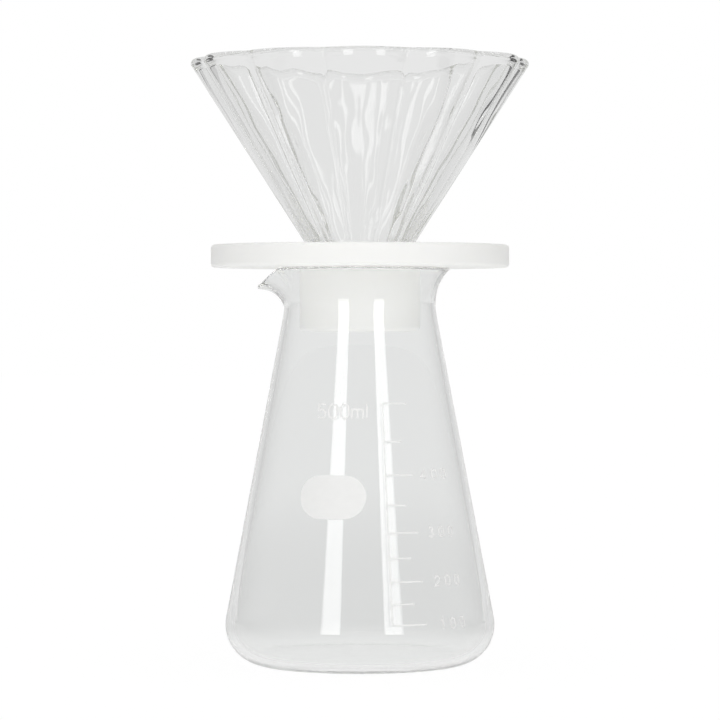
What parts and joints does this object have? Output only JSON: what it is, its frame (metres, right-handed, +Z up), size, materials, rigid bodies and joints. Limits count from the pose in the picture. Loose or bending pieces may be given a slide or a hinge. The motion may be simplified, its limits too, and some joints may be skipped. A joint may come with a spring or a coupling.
{
  "type": "pour over dripper set",
  "caption": "Fluted glass cone dripper seated in a soft white collar that plugs the mouth of a conical glass serving flask with a pouring spout and a printed volume scale.",
  "frame": {"origin": "centre of the flask's foot, on the surface that it stands on", "axes": "+Z up along the common axis of flask, collar and dripper; -Y faces the front, where the scale is; the spout points to -X"},
  "size_m": [0.1268, 0.1268, 0.2268],
  "materials": {
    "flask_glass": "clear blown glass",
    "dripper_glass": "clear wavy glass",
    "silicone": "matt white silicone",
    "enamel": "fired matt white enamel"
  },
  "bodies": {
    "flask": {"flask": "flask_glass", "scale_spine": "enamel", "scale_long_lines": "enamel", "scale_short_lines": "enamel", "numeral_100": "enamel", "numeral_200": "enamel", "numeral_300": "enamel", "numeral_400": "enamel", "capacity_mark": "enamel", "writing_patch": "enamel"},
    "collar": {"collar": "silicone"},
    "dripper": {"dripper": "dripper_glass"}
  },
  "joints": [
    {"name": "collar_lift", "type": "slide", "parent": "flask", "child": "collar", "axis": [0, 0, 1], "range_m": [0, 0.06]},
    {"name": "dripper_lift", "type": "slide", "parent": "collar", "child": "dripper", "axis": [0, 0, 1], "range_m": [0, 0.05]}
  ]
}
